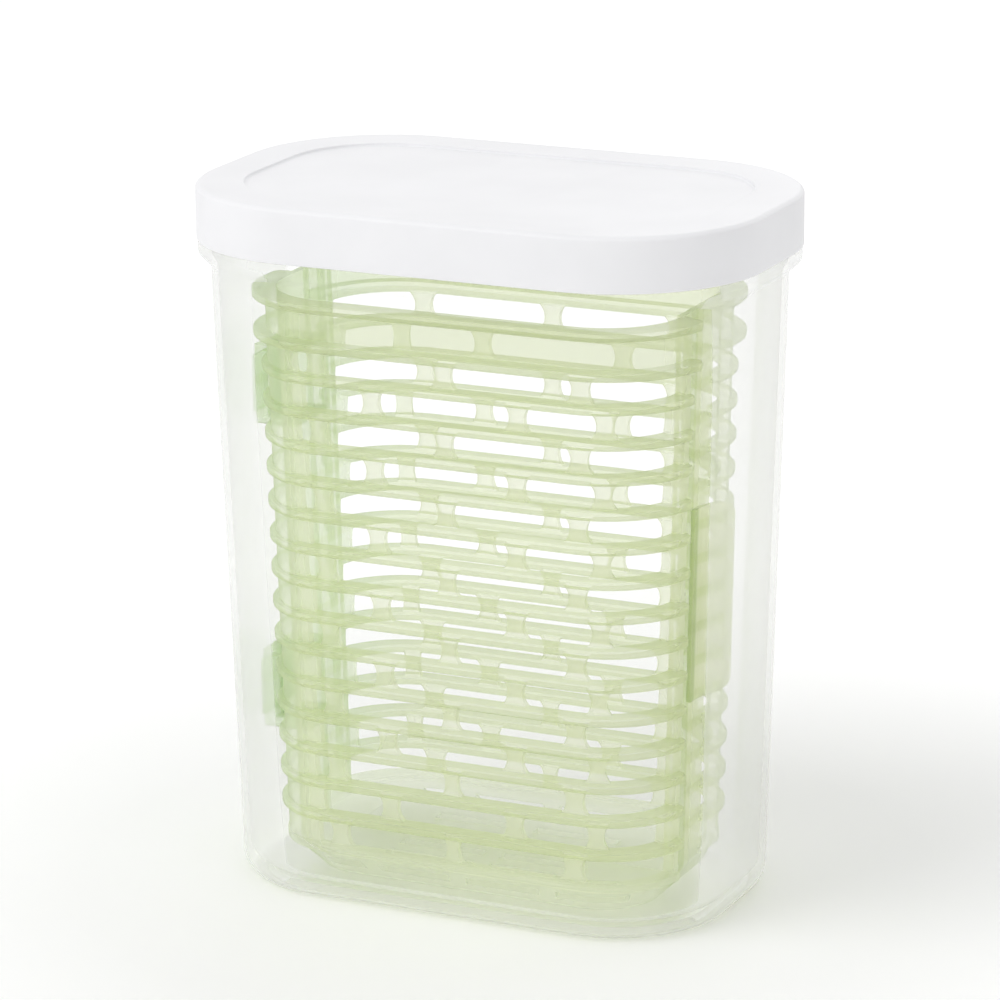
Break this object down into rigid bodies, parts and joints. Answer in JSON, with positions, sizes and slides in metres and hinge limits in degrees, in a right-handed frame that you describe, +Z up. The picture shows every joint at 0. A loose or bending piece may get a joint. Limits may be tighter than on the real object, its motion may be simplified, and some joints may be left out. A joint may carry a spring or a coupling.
{
  "type": "herb keeper",
  "caption": "Clear rounded-rectangular herb container with a slip-on white lid and a finned, windowed green basket inside that opens on a hinge.",
  "frame": {"origin": "centre of the container's foot, on the surface it stands on", "axes": "+Z up; +X along the container to the latch end of the basket, the hinge end is -X; -Y is the front"},
  "size_m": [0.165, 0.106, 0.2],
  "materials": {
    "clear_plastic": "clear plastic, very slightly frosted, polished",
    "white_plastic": "smooth opaque white, satin",
    "seal": "soft matte, pale translucent grey",
    "green_plastic": "translucent pale yellow-green plastic, satin",
    "pin_plastic": "pale green plastic rod"
  },
  "bodies": {
    "container": {"container": "clear_plastic"},
    "basket_back_half": {"basket_back": "green_plastic", "hinge_pin_upper": "pin_plastic", "hinge_pin_lower": "pin_plastic"},
    "basket_front_half": {"basket_front": "green_plastic"},
    "latch": {"basket_latch": "green_plastic"},
    "lid": {"lid": "white_plastic", "lid_seal": "seal"}
  },
  "joints": [
    {"name": "basket_lift", "type": "slide", "parent": "container", "child": "basket_back_half", "axis": [0, 0, 1], "range_m": [0, 0.19]},
    {"name": "lid_lift", "type": "slide", "parent": "basket_back_half", "child": "lid", "axis": [0, 0, 1], "range_m": [0, 0.06]},
    {"name": "basket_open", "type": "hinge", "parent": "basket_back_half", "child": "basket_front_half", "pos_m": [-0.0698, 0, 0.0933], "axis": [0, 0, -1], "range_deg": [0, 2]},
    {"name": "latch_flex", "type": "hinge", "parent": "basket_front_half", "child": "latch", "pos_m": [0.0599, -0.0052, 0.087], "axis": [0, 0, -1], "range_deg": [0, 15]}
  ],
  "couplings": [
    {"joint": "basket_open", "follows": "latch_flex", "ratio": 0.13333}
  ]
}
